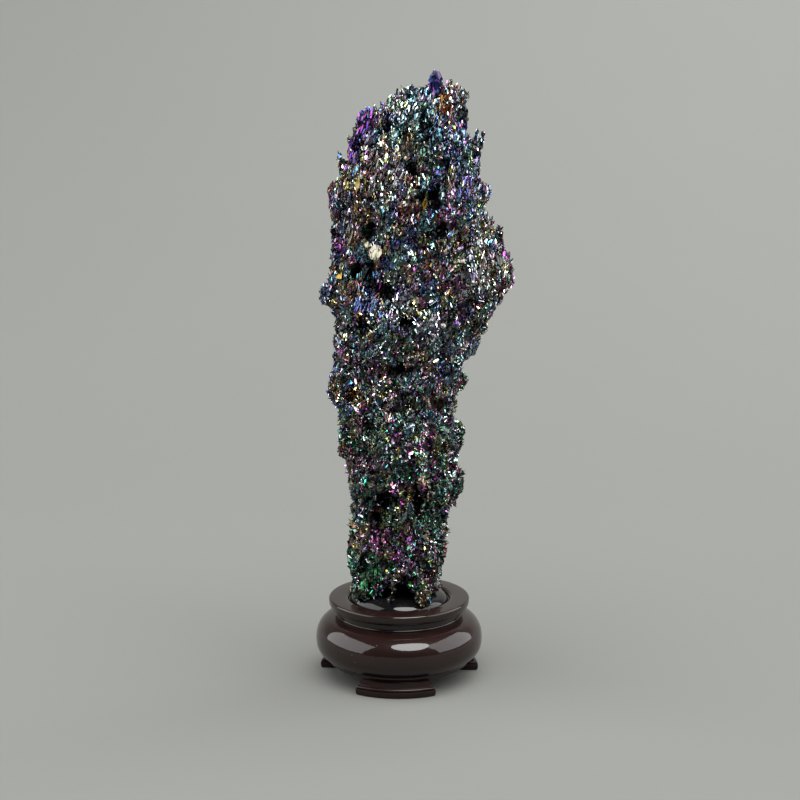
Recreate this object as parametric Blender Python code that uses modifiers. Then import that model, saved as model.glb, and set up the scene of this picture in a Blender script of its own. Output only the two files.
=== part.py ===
# A tall iridescent crystal mass set in black resin in the shallow bowl of a lacquered wooden stand.
# Metres, +Z up, the front faces -Y. The origin is on the floor, under the middle of the whole box.

import math
import random

import bmesh
import bpy
from mathutils import Matrix, Vector, noise

# Stand, a squashed round body on three feet, and the black resin setting in its bowl
STAND_AXIS_X = -0.008
FACETS_ROUND = 40
BULGE_RADIUS = 0.045
BULGE_HEIGHT = 0.0194
BULGE_RISE = 0.0132
BULGE_DROP = 0.0108
BULGE_DEPTH = 0.014
BULGE_SQUARENESS = 2.4
RIM_HEIGHT = 0.0422
RIM_RADIUS = 0.03795
RIM_EDGE = 0.0011
RIM_BELLY_HEIGHT = 0.0404
RIM_UNDERSIDE = 0.0368
RIM_UNDERSIDE_RADIUS = 0.0349
NECK_RADIUS = 0.0332
NECK_TOP = 0.0358
NECK_BOTTOM = 0.0340
BEAD_RADIUS = 0.0340
BEAD_HEIGHT = 0.0330
BOWL_RADIUS = 0.0271
BOWL_LIP = 0.002
BOWL_FLOOR = 0.0370
BOWL_STEEPNESS = 4
BOWL_RING_SHARES = (0.0, 0.45, 0.7, 0.85, 0.95)
SETTING_RADIUS = 0.0266
SETTING_SHOULDER = 0.0080
SETTING_FOOT = 0.0397
SETTING_RISE = 0.0057
SETTING_TILT = (-0.035, -0.015)
SETTING_ARC = (90, 7)
SETTING_STEPS = 5
BASE_RADIUS = 0.0382
BASE_UNDERSIDE = 0.0078
BASE_STEP = 0.0016
RIM_BELLY_ARC = (-8, -90)
BULGE_UPPER_ARC = (74, 0)
BULGE_LOWER_ARC = (-18, -62)
TURN_MERGE = 0.00001

# Feet, three stepped segments of one ring
FOOT_ANGLES = {"foot_front": -2.7, "foot_back_right": 117.3, "foot_back_left": -122.7}
FOOT_SPAN = 58.0
FOOT_STEPS = 48
FOOT_RADIUS = 0.0431
FOOT_INNER_RADIUS = 0.030
FOOT_TOP = 0.0075
PLINTH_HEIGHT = 0.0033
FOOT_BEAD_TOP = 0.0049
FOOT_BEAD_INSET = 0.0005
FOOT_BEAD_EDGE = 0.0006
FOOT_BAND_INSET = 0.0021

# Crystal mass: height, left, right, front and back reach from the stand's axis
MASS_SECTIONS = (
    (0.0390, 0.0190, 0.0150, 0.010, 0.018),
    (0.045, 0.0245, 0.0190, 0.017, 0.019),
    (0.052, 0.0272, 0.0215, 0.021, 0.020),
    (0.062, 0.0264, 0.0210, 0.024, 0.021),
    (0.074, 0.0228, 0.0240, 0.024, 0.021),
    (0.085, 0.0255, 0.0232, 0.023, 0.021),
    (0.095, 0.0270, 0.0265, 0.024, 0.021),
    (0.105, 0.0278, 0.0310, 0.025, 0.022),
    (0.118, 0.0290, 0.0280, 0.026, 0.023),
    (0.130, 0.0315, 0.0315, 0.026, 0.024),
    (0.142, 0.0312, 0.0338, 0.027, 0.024),
    (0.158, 0.0325, 0.0345, 0.028, 0.025),
    (0.172, 0.0340, 0.0395, 0.029, 0.026),
    (0.182, 0.0350, 0.0430, 0.030, 0.027),
    (0.192, 0.0325, 0.0500, 0.031, 0.028),
    (0.203, 0.0350, 0.0550, 0.032, 0.029),
    (0.213, 0.0350, 0.0585, 0.033, 0.030),
    (0.222, 0.0330, 0.0595, 0.033, 0.030),
    (0.232, 0.0330, 0.0525, 0.032, 0.030),
    (0.244, 0.0314, 0.0500, 0.031, 0.029),
    (0.258, 0.0312, 0.0445, 0.030, 0.028),
    (0.270, 0.0305, 0.0400, 0.028, 0.026),
    (0.281, 0.0268, 0.0410, 0.026, 0.024),
    (0.290, 0.0220, 0.0325, 0.023, 0.021),
    (0.298, 0.0180, 0.0285, 0.018, 0.017),
    (0.305, 0.0060, 0.0315, 0.012, 0.012),
    (0.3095, -0.0030, 0.0300, 0.006, 0.008),
)
MASS_COLUMNS = 96
MASS_ROW_HEIGHT = 0.0024
MASS_SQUARENESS = 2.35
MASS_GRAIN = 0.0013
MASS_TRIANGLES_KEPT = 0.0285
GRAIN_LEAN = 0.10
CLEARANCE = 0.0004
CRAG_MIX = 37.0
LUMP_SUBDIVISIONS = 4
LUMP_CRAGS = 0.6
SLIVER = 0.00002

# Crags, flat-faced cells taller than wide: cell width, cell height, step between cells, tilt
CRAGS = (
    (0.0190, 0.034, 0.0070, 0.30),
    (0.0085, 0.015, 0.0036, 0.38),
)

# Lumps that stand out of the mass: centre from the stand's axis, then half sizes
LUMPS = {
    "left_knob": ((-0.0355, -0.004, 0.2045), (0.0050, 0.007, 0.0065)),
    "left_boss": ((-0.0305, -0.010, 0.1570), (0.0070, 0.011, 0.0105)),
    "left_shoulder": ((-0.0295, -0.002, 0.2600), (0.0055, 0.012, 0.0090)),
    "right_shoulder": ((0.0425, -0.004, 0.2545), (0.0068, 0.010, 0.0075)),
    "cheek": ((0.0440, -0.012, 0.2180), (0.0150, 0.018, 0.0160)),
    "chest": ((0.0080, -0.024, 0.1900), (0.0180, 0.011, 0.0240)),
    "right_knob": ((0.0285, -0.005, 0.1065), (0.0060, 0.010, 0.0085)),
    "right_bump": ((0.0275, 0.003, 0.1400), (0.0050, 0.010, 0.0080)),
    "waist_bump": ((0.0300, -0.003, 0.1605), (0.0090, 0.011, 0.0090)),
    "brow": ((-0.0140, -0.021, 0.1120), (0.0130, 0.009, 0.0110)),
    "foot_lump": ((0.0170, -0.014, 0.0690), (0.0070, 0.010, 0.0110)),
    "back_ledge": ((-0.0080, 0.025, 0.1500), (0.0180, 0.009, 0.0120)),
    "back_hump": ((0.0200, 0.026, 0.2200), (0.0200, 0.010, 0.0200)),
    "back_low_hump": ((0.0060, 0.019, 0.0850), (0.0140, 0.008, 0.0130)),
    "left_leg": ((-0.0165, -0.0105, 0.0475), (0.0100, 0.0100, 0.0085)),
    "right_leg": ((0.0125, -0.0215, 0.0490), (0.0065, 0.0068, 0.0100)),
    "back_leg": ((0.0020, 0.0130, 0.0440), (0.0110, 0.0085, 0.0080)),
}

# Hollows sunk in the mass: centre from the stand's axis, then half sizes
HOLLOWS = {
    "arch": ((-0.0005, -0.021, 0.0450), (0.0090, 0.019, 0.0085)),
    "overhang": ((-0.0110, -0.027, 0.0960), (0.0110, 0.008, 0.0045)),
    "low_cave": ((0.0100, -0.027, 0.1030), (0.0060, 0.007, 0.0070)),
    "plate_cave": ((-0.0110, -0.034, 0.2110), (0.0085, 0.010, 0.0065)),
    "side_cave": ((-0.0240, -0.026, 0.2170), (0.0055, 0.008, 0.0050)),
    "upper_pit": ((0.0160, -0.031, 0.2590), (0.0055, 0.009, 0.0070)),
    "waist_pit": ((0.0020, -0.033, 0.1500), (0.0060, 0.008, 0.0050)),
    "crest_notch": ((-0.0110, -0.004, 0.3020), (0.0025, 0.022, 0.0065)),
    "right_notch": ((0.0380, 0.000, 0.2960), (0.0085, 0.030, 0.0065)),
    "back_cave": ((0.0060, 0.031, 0.1850), (0.0090, 0.009, 0.0070)),
    "back_pit": ((-0.0120, 0.031, 0.2440), (0.0070, 0.009, 0.0080)),
    "back_low_cave": ((-0.0080, 0.025, 0.1120), (0.0080, 0.008, 0.0060)),
}

# Crest spires: foot x, y, tip x, tip height and half width
SPIRES = (
    (-0.015, -0.009, -0.0165, 0.3010, 0.0030),
    (-0.012, 0.004, -0.0128, 0.3030, 0.0027),
    (-0.007, -0.006, -0.0078, 0.3025, 0.0022),
    (-0.002, 0.006, -0.0020, 0.3078, 0.0028),
    (0.004, -0.007, 0.0060, 0.3120, 0.0036),
    (0.008, 0.004, 0.0098, 0.3104, 0.0040),
    (0.014, 0.007, 0.0140, 0.3090, 0.0032),
    (0.017, -0.005, 0.0183, 0.3188, 0.0042),
    (0.020, 0.004, 0.0220, 0.3135, 0.0034),
    (0.025, -0.005, 0.0262, 0.3145, 0.0028),
    (0.027, 0.004, 0.0295, 0.3125, 0.0034),
    (0.030, -0.003, 0.0330, 0.3105, 0.0032),
    (0.0285, 0.004, 0.0360, 0.3075, 0.0026),
    (0.036, -0.002, 0.0400, 0.2902, 0.0028),
    (0.038, -0.009, 0.0430, 0.2885, 0.0030),
    (0.037, 0.007, 0.0430, 0.2860, 0.0032),
    (-0.018, -0.010, -0.0205, 0.2960, 0.0028),
    (-0.024, 0.005, -0.0262, 0.2865, 0.0030),
    (-0.029, -0.004, -0.0308, 0.2785, 0.0032),
)
SPIRE_FOOT_DEPTH = 0.024
SPIRE_TAPER = 0.45
SPIRE_DEPTH_STRETCH = 1.3
SPIRE_WANDER = 0.001

# Crystal plates grown all over the mass
CLUSTER_COUNT = 34
CLUSTER_SIZES = (1, 2, 2)
CRYSTAL_SEED = 11
PLATE_HALF_WIDTH = (0.0028, 0.0046)
PLATE_HALF_LENGTH = (0.0060, 0.0120)
PLATE_THICKNESS = (0.0014, 0.0024)
PLATE_SPACING = 0.0030
PLATE_SINK = 0.0012
PLATE_SHOWING = 0.45
PLATE_LEAN = 0.15
PLATE_TWIST = 1.1
PLATE_SHIFT = 0.004
HOLLOW_MARGIN = 1.35
NORMAL_TURN_STEP = 0.05
NORMAL_HEIGHT_STEP = 0.004
PLATE_LOWEST = 0.052
PLATE_HIGHEST = 0.300
GOLDEN_ANGLE = math.pi * (3 - math.sqrt(5))

# Finishes: colour, roughness, metallic
LACQUER = ((0.028, 0.012, 0.010), 0.16, 0.0)
CRYSTAL = ((0.055, 0.050, 0.070), 0.28, 0.8)
RESIN = ((0.006, 0.006, 0.007), 0.08, 0.0)


def clear_scene():
    for existing in list(bpy.data.objects):
        bpy.data.objects.remove(existing, do_unlink=True)


def make_collection(name):
    collection = bpy.data.collections.new(name)
    bpy.context.scene.collection.children.link(collection)
    return collection


def make_material(name, colour, roughness, metallic):
    material = bpy.data.materials.new(name)
    material.use_nodes = True
    shader = material.node_tree.nodes["Principled BSDF"]
    shader.inputs["Base Color"].default_value = (*colour, 1.0)
    shader.inputs["Roughness"].default_value = roughness
    shader.inputs["Metallic"].default_value = metallic
    return material


def object_from_bmesh(name, bm, collection, material=None):
    bmesh.ops.recalc_face_normals(bm, faces=bm.faces[:])
    mesh = bpy.data.meshes.new(name)
    bm.to_mesh(mesh)
    bm.free()
    made = bpy.data.objects.new(name, mesh)
    collection.objects.link(made)
    if material:
        mesh.materials.append(material)
    return made


def mark_as_cutter(helper):
    helper.hide_render = True
    helper.display_type = "WIRE"


def add_boolean(target, other, operation, name):
    modifier = target.modifiers.new(name, "BOOLEAN")
    modifier.object = other
    modifier.operation = operation
    modifier.solver = "EXACT"
    modifier.use_self = True
    return modifier


def settle(made):
    # Bakes the modifiers into the mesh and keeps its one large body.
    graph = bpy.context.evaluated_depsgraph_get()
    bm = bmesh.new()
    bm.from_mesh(made.evaluated_get(graph).to_mesh())
    bmesh.ops.dissolve_degenerate(bm, dist=SLIVER, edges=bm.edges[:])
    bmesh.ops.triangulate(bm, faces=bm.faces[:])
    bodies = []
    unseen = set(bm.verts)
    while unseen:
        body = {unseen.pop()}
        fresh = set(body)
        while fresh:
            fresh = {edge.other_vert(vert) for vert in fresh for edge in vert.link_edges} & unseen
            unseen -= fresh
            body |= fresh
        bodies.append(body)
    keep = max(bodies, key=len)
    bmesh.ops.delete(bm, geom=[vert for vert in bm.verts if vert not in keep], context="VERTS")
    made.modifiers.clear()
    bm.to_mesh(made.data)
    bm.free()


def add_grain(target):
    # An even grain melts overlapping shapes into one skin.
    modifier = target.modifiers.new("grain", "REMESH")
    modifier.voxel_size = MASS_GRAIN


def arc_points(centre, radii, start, end, count, squareness=2.0):
    # Points on a rounded quarter, from angle start to end in degrees, 0 pointing outwards.
    points = []
    for step in range(count):
        angle = math.radians(start + (end - start) * step / (count - 1))
        along = math.copysign(abs(math.cos(angle)) ** (2 / squareness), math.cos(angle))
        up = math.copysign(abs(math.sin(angle)) ** (2 / squareness), math.sin(angle))
        points.append((centre[0] + radii[0] * along, centre[1] + radii[1] * up))
    return points


def bowl_height(radius):
    # The bowl is nearly flat in the middle and sweeps up to its lip.
    lip_start = RIM_HEIGHT - BOWL_LIP
    return BOWL_FLOOR + (lip_start - BOWL_FLOOR) * (radius / BOWL_RADIUS) ** BOWL_STEEPNESS


def bowl_points(lift=0.0):
    lip_centre = (BOWL_RADIUS + BOWL_LIP, RIM_HEIGHT - BOWL_LIP)
    points = [(BOWL_RADIUS * share, bowl_height(BOWL_RADIUS * share)) for share in BOWL_RING_SHARES]
    points += arc_points(lip_centre, (BOWL_LIP, BOWL_LIP), 180, 90, 4)
    return [(radius, height + lift) for radius, height in points]


def stand_points():
    bulge_centre = (BULGE_RADIUS - BULGE_DEPTH, BULGE_HEIGHT)
    belly_centre = (RIM_UNDERSIDE_RADIUS, RIM_BELLY_HEIGHT)
    belly_radii = (RIM_RADIUS - RIM_UNDERSIDE_RADIUS, RIM_BELLY_HEIGHT - RIM_UNDERSIDE)
    points = bowl_points()
    edge_centre = (RIM_RADIUS - RIM_EDGE, RIM_HEIGHT - RIM_EDGE)
    points += arc_points(edge_centre, (RIM_EDGE, RIM_EDGE), 90, 0, 3)
    points += arc_points(belly_centre, belly_radii, *RIM_BELLY_ARC, 4, BULGE_SQUARENESS)
    points += [(NECK_RADIUS, NECK_TOP), (NECK_RADIUS, NECK_BOTTOM), (BEAD_RADIUS, BEAD_HEIGHT)]
    points += arc_points(bulge_centre, (BULGE_DEPTH, BULGE_RISE), *BULGE_UPPER_ARC, 7, BULGE_SQUARENESS)
    points += arc_points(bulge_centre, (BULGE_DEPTH, BULGE_DROP), *BULGE_LOWER_ARC, 4, BULGE_SQUARENESS)
    points += [(BASE_RADIUS, BASE_UNDERSIDE + BASE_STEP), (BASE_RADIUS, BASE_UNDERSIDE)]
    points += [(0.0, BASE_UNDERSIDE)]
    return points


def foot_points():
    # The foot's section: plinth, small bead, then a straight band up to the base of the stand.
    bead_radius = FOOT_RADIUS - FOOT_BEAD_INSET
    band_radius = FOOT_RADIUS - FOOT_BAND_INSET
    return [
        (FOOT_INNER_RADIUS, FOOT_TOP),
        (band_radius, FOOT_TOP),
        (band_radius, FOOT_BEAD_TOP),
        (bead_radius - FOOT_BEAD_EDGE, FOOT_BEAD_TOP),
        (bead_radius, FOOT_BEAD_TOP - FOOT_BEAD_EDGE),
        (bead_radius, PLINTH_HEIGHT),
        (FOOT_RADIUS, PLINTH_HEIGHT),
        (FOOT_RADIUS, 0.0),
        (FOOT_INNER_RADIUS, 0.0),
    ]


def turned_object(name, points, steps, collection, material=None, closed=False):
    bm = bmesh.new()
    verts = [bm.verts.new((radius, 0.0, height)) for radius, height in points]
    for first, second in zip(verts, verts[1:]):
        bm.edges.new((first, second))
    if closed:
        bm.edges.new((verts[-1], verts[0]))
    mesh = bpy.data.meshes.new(name)
    bm.to_mesh(mesh)
    bm.free()
    made = bpy.data.objects.new(name, mesh)
    made.location.x = STAND_AXIS_X
    collection.objects.link(made)
    if material:
        mesh.materials.append(material)
    screw = made.modifiers.new("turn", "SCREW")
    screw.axis = "Z"
    screw.steps = steps
    screw.render_steps = steps
    screw.use_merge_vertices = True
    screw.merge_threshold = TURN_MERGE
    screw.use_smooth_shade = True
    return made


def make_stand_body(collection, material):
    return turned_object("stand_body", stand_points(), FACETS_ROUND, collection, material)


def make_foot(name, angle, collection, cutters, material):
    foot = turned_object(name, foot_points(), FOOT_STEPS, collection, material, closed=True)
    # The wedge keeps one segment of the ring. Angles run from the front towards the right.
    reach = 2 * FOOT_RADIUS
    bm = bmesh.new()
    corners = [(0.0, 0.0)]
    for side in (-0.5, 0.0, 0.5):
        turn = math.radians(angle + side * FOOT_SPAN)
        corners.append((reach * math.sin(turn), -reach * math.cos(turn)))
    base = bm.faces.new([bm.verts.new((x, y, -FOOT_TOP)) for x, y in corners])
    raised = bmesh.ops.extrude_face_region(bm, geom=[base])
    top = [item for item in raised["geom"] if isinstance(item, bmesh.types.BMVert)]
    bmesh.ops.translate(bm, vec=(0.0, 0.0, 3 * FOOT_TOP), verts=top)
    wedge = object_from_bmesh(name + "_wedge", bm, cutters)
    wedge.location.x = STAND_AXIS_X
    mark_as_cutter(wedge)
    add_boolean(foot, wedge, "INTERSECT", "segment")
    return foot


def setting_rise(x, y):
    # The setting stands highest under the left front of the mass.
    return SETTING_RISE + SETTING_TILT[0] * x + SETTING_TILT[1] * y


def setting_mesh(grow, underside):
    # A pad with a round shoulder: rings down from its tilted top, then along its underside.
    bm = bmesh.new()
    middle = SETTING_RADIUS - SETTING_SHOULDER
    shoulder = arc_points((middle, 0.0), (SETTING_SHOULDER + grow, 1.0), *SETTING_ARC, SETTING_STEPS)
    rings = [(radius, share, SETTING_FOOT + grow) for radius, share in shoulder]
    rings += [(radius, 0.0, height) for radius, height in underside]
    loops = []
    for radius, share, height in rings:
        ring = []
        for column in range(FACETS_ROUND):
            turn = math.tau * column / FACETS_ROUND
            x, y = radius * math.cos(turn), radius * math.sin(turn)
            ring.append(bm.verts.new((x, y, height + share * setting_rise(x, y))))
        loops.append((ring, [bm.edges.new((ring[i - 1], ring[i])) for i in range(FACETS_ROUND)]))
    for upper, lower in zip(loops, loops[1:]):
        bmesh.ops.bridge_loops(bm, edges=upper[1] + lower[1])
    bm.faces.new(loops[0][0])
    bm.faces.new(loops[-1][0])
    return bm


def make_setting(collection, material):
    floor = bowl_points(CLEARANCE)[1:len(BOWL_RING_SHARES)]
    made = object_from_bmesh("setting", setting_mesh(0.0, floor[::-1]), collection, material)
    made.location.x = STAND_AXIS_X
    return made


def section_at(height):
    # The mass's left, right, front and back reach at a height, between its two nearest sections.
    for lower, upper in zip(MASS_SECTIONS, MASS_SECTIONS[1:]):
        if height <= upper[0]:
            break
    share = min(max((height - lower[0]) / (upper[0] - lower[0]), 0.0), 1.0)
    return [low + (high - low) * share for low, high in zip(lower[1:], upper[1:])]


def crag_depth(place):
    # How far the rough surface stands out of the smooth one at a place.
    depth = 0.0
    for width, rise, step, tilt in CRAGS:
        upright = place.x - GRAIN_LEAN * place.z
        cell_place = Vector((upright / width, place.y / width, place.z / rise))
        middle = noise.voronoi(cell_place)[1][0]
        chance = noise.cell_vector(middle * CRAG_MIX)
        slope = Vector((chance.y, chance.z, chance.x)) - Vector((0.5, 0.5, 0.5))
        depth += step * (chance.x - 0.5) + tilt * width * slope.dot(cell_place - middle)
    return depth


def surface_point(turn, height):
    # A point on the bare mass. The turn runs from the front towards the right.
    left, right, front, back = section_at(height)
    centre = Vector(((right - left) / 2, (back - front) / 2, height))
    sideways = math.sin(turn)
    forward = math.cos(turn)
    spread = abs(sideways) ** MASS_SQUARENESS + abs(forward) ** MASS_SQUARENESS
    reach = spread ** (-1 / MASS_SQUARENESS)
    half_width = (left + right) / 2
    half_depth = (front + back) / 2
    smooth = centre + reach * Vector((sideways * half_width, -forward * half_depth, 0.0))
    return smooth + (smooth - centre).normalized() * crag_depth(smooth)


def outward_normal(turn, height):
    step = NORMAL_TURN_STEP
    rise = NORMAL_HEIGHT_STEP
    around = surface_point(turn + step, height) - surface_point(turn - step, height)
    upward = surface_point(turn, height + rise) - surface_point(turn, height - rise)
    return around.cross(upward).normalized()


def craggy_ball(bm, centre, half_sizes):
    # A lump with the same flat-faced crags as the mass.
    made = bmesh.ops.create_icosphere(bm, subdivisions=LUMP_SUBDIVISIONS, radius=1.0)["verts"]
    for vert in made:
        outward = vert.co.copy()
        place = Vector(centre) + Vector([part * half for part, half in zip(vert.co, half_sizes)])
        vert.co = place + outward * crag_depth(place) * LUMP_CRAGS


def make_mass(collection, material):
    bm = bmesh.new()
    rings = []
    turns = [math.tau * column / MASS_COLUMNS for column in range(MASS_COLUMNS)]
    lowest = MASS_SECTIONS[0][0]
    rows = round((MASS_SECTIONS[-1][0] - lowest) / MASS_ROW_HEIGHT)
    for row in range(rows + 1):
        height = lowest + row * MASS_ROW_HEIGHT
        ring = [bm.verts.new(surface_point(turn, height)) for turn in turns]
        edges = [bm.edges.new((ring[i - 1], ring[i])) for i in range(MASS_COLUMNS)]
        rings.append((ring, edges))
    for lower, upper in zip(rings, rings[1:]):
        bmesh.ops.bridge_loops(bm, edges=lower[1] + upper[1])
    bm.faces.new(rings[0][0])
    bm.faces.new(rings[-1][0])
    for centre, half_sizes in LUMPS.values():
        craggy_ball(bm, centre, half_sizes)
    mass = object_from_bmesh("specimen", bm, collection, material)
    mass.location.x = STAND_AXIS_X
    add_grain(mass)
    return mass


def crystal_plate(bm, centre, along, across, half_length, half_width, thickness):
    # A six-sided plate: its long axis, then the axis through its thickness.
    across = (across - along * across.dot(along)).normalized()
    sideways = along.cross(across)
    made = bmesh.ops.create_cone(
        bm, cap_ends=True, segments=6, radius1=1.0, radius2=1.0, depth=thickness
    )["verts"]
    axes = Matrix((along, sideways, across)).transposed()
    for vert in made:
        flat = Vector((vert.co.x * half_length, vert.co.y * half_width, vert.co.z))
        vert.co = axes @ flat + centre


def make_hollows(cutters):
    bm = bmesh.new()
    for centre, half_sizes in HOLLOWS.values():
        craggy_ball(bm, centre, half_sizes)
    hollows = object_from_bmesh("hollows", bm, cutters)
    hollows.location.x = STAND_AXIS_X
    mark_as_cutter(hollows)
    return hollows


def inside_hollow(point):
    for centre, half_sizes in HOLLOWS.values():
        offset = [(p - c) / h for p, c, h in zip(point, centre, half_sizes)]
        if sum(part * part for part in offset) < HOLLOW_MARGIN:
            return True
    return False


def add_spires(bm, rng):
    for foot_x, foot_y, tip_x, tip_height, half_width in SPIRES:
        foot = Vector((foot_x, foot_y, tip_height - SPIRE_FOOT_DEPTH))
        tip = Vector((tip_x, foot_y + rng.uniform(-SPIRE_WANDER, SPIRE_WANDER), tip_height))
        along = (tip - foot).normalized()
        length = (tip - foot).length
        made = bmesh.ops.create_cone(
            bm,
            cap_ends=True,
            segments=6,
            radius1=half_width,
            radius2=half_width * SPIRE_TAPER,
            depth=length,
        )["verts"]
        turn = Matrix.Rotation(rng.uniform(0, math.pi / 3), 3, "Z")
        flatten = Matrix.Diagonal((1.0, SPIRE_DEPTH_STRETCH, 1.0))
        aim = along.to_track_quat("Z", "Y").to_matrix()
        for vert in made:
            vert.co = aim @ (flatten @ (turn @ vert.co)) + (foot + tip) / 2


def add_plates(bm, rng):
    # Each cluster is a few parallel plates that stand on edge or lean out of the mass.
    for cluster in range(CLUSTER_COUNT):
        share = (cluster + 0.5) / CLUSTER_COUNT
        height = PLATE_LOWEST + (PLATE_HIGHEST - PLATE_LOWEST) * share
        turn = cluster * GOLDEN_ANGLE
        base = surface_point(turn, height)
        if inside_hollow(base):
            continue
        normal = outward_normal(turn, height)
        sway = [rng.uniform(-PLATE_LEAN, PLATE_LEAN) for axis in range(2)]
        along = Vector((sway[0] + GRAIN_LEAN, sway[1], 1.0)).normalized()
        beside = normal.cross(along).normalized()
        twist = rng.uniform(-PLATE_TWIST, PLATE_TWIST)
        across = beside * math.cos(twist) + normal * math.sin(twist)
        for member in range(rng.choice(CLUSTER_SIZES)):
            half_length = rng.uniform(*PLATE_HALF_LENGTH)
            half_width = rng.uniform(*PLATE_HALF_WIDTH)
            thickness = rng.uniform(*PLATE_THICKNESS)
            reach = half_width * abs(math.cos(twist)) + thickness * abs(math.sin(twist)) / 2
            centre = base + normal * (reach * PLATE_SHOWING - PLATE_SINK)
            centre += beside * (member * PLATE_SPACING) + along * rng.uniform(-PLATE_SHIFT, PLATE_SHIFT)
            crystal_plate(bm, centre, along, across, half_length, half_width, thickness)


def make_crystals(cutters):
    rng = random.Random(CRYSTAL_SEED)
    bm = bmesh.new()
    add_spires(bm, rng)
    add_plates(bm, rng)
    crystals = object_from_bmesh("crystals", bm, cutters)
    crystals.location.x = STAND_AXIS_X
    mark_as_cutter(crystals)
    return crystals


def make_hold(cutters):
    # The setting grown by the clearance, so that the mass stands just clear of it.
    below = [(SETTING_RADIUS + CLEARANCE, BASE_UNDERSIDE)]
    hold = object_from_bmesh("hold", setting_mesh(CLEARANCE, below), cutters)
    hold.location.x = STAND_AXIS_X
    mark_as_cutter(hold)
    return hold


def make_seat(cutters):
    # Everything lower than the bowl's surface, so that the mass stands just clear of its rim.
    outer = (BULGE_RADIUS + CLEARANCE, RIM_HEIGHT + CLEARANCE)
    points = bowl_points(CLEARANCE) + [outer, (outer[0], 0.0), (0.0, 0.0)]
    seat = turned_object("seat", points, FACETS_ROUND, cutters)
    mark_as_cutter(seat)
    return seat


def make_specimen(collection, cutters, material):
    mass = make_mass(collection, material)
    add_boolean(mass, make_hollows(cutters), "DIFFERENCE", "hollows")
    add_grain(mass)
    facets = mass.modifiers.new("facets", "DECIMATE")
    facets.ratio = MASS_TRIANGLES_KEPT
    settle(mass)
    add_boolean(mass, make_crystals(cutters), "UNION", "crystals")
    add_boolean(mass, make_seat(cutters), "DIFFERENCE", "seat")
    add_boolean(mass, make_hold(cutters), "DIFFERENCE", "hold")
    settle(mass)
    return mass


def main():
    clear_scene()
    pieces = make_collection("chalcopyrite_specimen")
    cutters = make_collection("cutters")
    lacquer = make_material("dark_brown_lacquer", *LACQUER)
    crystal = make_material("iridescent_crystal", *CRYSTAL)
    resin = make_material("black_resin", *RESIN)
    make_stand_body(pieces, lacquer)
    for name, angle in FOOT_ANGLES.items():
        make_foot(name, angle, pieces, cutters, lacquer)
    make_setting(pieces, resin)
    make_specimen(pieces, cutters, crystal)


main()
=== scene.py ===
import math

import bmesh
import bpy
import numpy as np
from mathutils import Matrix, Vector, noise
from mathutils.bvhtree import BVHTree


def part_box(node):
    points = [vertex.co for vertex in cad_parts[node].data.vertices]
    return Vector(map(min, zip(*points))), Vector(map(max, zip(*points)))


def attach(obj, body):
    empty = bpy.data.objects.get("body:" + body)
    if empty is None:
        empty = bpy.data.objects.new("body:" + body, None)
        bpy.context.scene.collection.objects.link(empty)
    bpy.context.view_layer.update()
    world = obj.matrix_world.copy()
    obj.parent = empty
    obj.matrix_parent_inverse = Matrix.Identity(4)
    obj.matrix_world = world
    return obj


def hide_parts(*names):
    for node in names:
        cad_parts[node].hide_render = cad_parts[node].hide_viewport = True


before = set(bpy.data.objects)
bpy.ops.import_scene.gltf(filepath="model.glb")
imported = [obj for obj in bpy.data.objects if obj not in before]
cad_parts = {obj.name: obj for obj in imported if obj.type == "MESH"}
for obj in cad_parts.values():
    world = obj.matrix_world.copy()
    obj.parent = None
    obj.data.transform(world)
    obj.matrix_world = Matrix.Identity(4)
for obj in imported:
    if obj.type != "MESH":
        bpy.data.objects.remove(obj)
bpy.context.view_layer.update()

mm = 0.001
sharpAngle = 40
bodyLow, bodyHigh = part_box("stand_body")
massLow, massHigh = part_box("specimen")
standAxis = Vector(((bodyLow.x + bodyHigh.x) / 2, (bodyLow.y + bodyHigh.y) / 2, 0.0))
print("frame loaded, stand axis at", round(standAxis.x, 4))


# Shared helpers for meshes

def linked(name, data):
    made = bpy.data.objects.new(name, data)
    bpy.context.scene.collection.objects.link(made)
    return made


def finishPiece(name, mesh, material, nodes=()):
    piece = linked(name, mesh)
    mesh.materials.clear()
    mesh.materials.append(material)
    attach(piece, "root")
    if nodes:
        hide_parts(*nodes)
    return piece


def plainMesh(bm, name):
    mesh = bpy.data.meshes.new(name)
    bm.to_mesh(mesh)
    bm.free()
    return mesh


def smoothMesh(bm, name):
    bmesh.ops.recalc_face_normals(bm, faces=bm.faces)
    mesh = plainMesh(bm, name)
    mesh.shade_smooth()
    mesh.set_sharp_from_angle(angle=math.radians(sharpAngle))
    return mesh


def addLine(bm, places):
    verts = [bm.verts.new(place) for place in places]
    return verts, [bm.edges.new(pair) for pair in zip(verts, verts[1:])]


def roundedQuarter(centre, radii, start, end, count, squareness=2.0):
    # Points of a rounded corner from angle start to end in degrees, 0 pointing outwards.
    points = []
    for angle in np.radians(np.linspace(start, end, count)):
        along = math.copysign(abs(math.cos(angle)) ** (2 / squareness), math.cos(angle))
        up = math.copysign(abs(math.sin(angle)) ** (2 / squareness), math.sin(angle))
        points.append((centre[0] + radii[0] * along, centre[1] + radii[1] * up))
    return points


# Shared shader groups

def newGroup(name, inputs, outputs):
    group = bpy.data.node_groups.new(name, "ShaderNodeTree")
    for label, value in inputs.items():
        kind = "NodeSocketColor" if isinstance(value, tuple) else "NodeSocketFloat"
        group.interface.new_socket(label, in_out="INPUT", socket_type=kind).default_value = value
    for label, kind in outputs.items():
        group.interface.new_socket(label, in_out="OUTPUT", socket_type=kind)
    start = group.nodes.new("NodeGroupInput")
    end = group.nodes.new("NodeGroupOutput")
    return group, start.outputs, end.inputs


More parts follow.
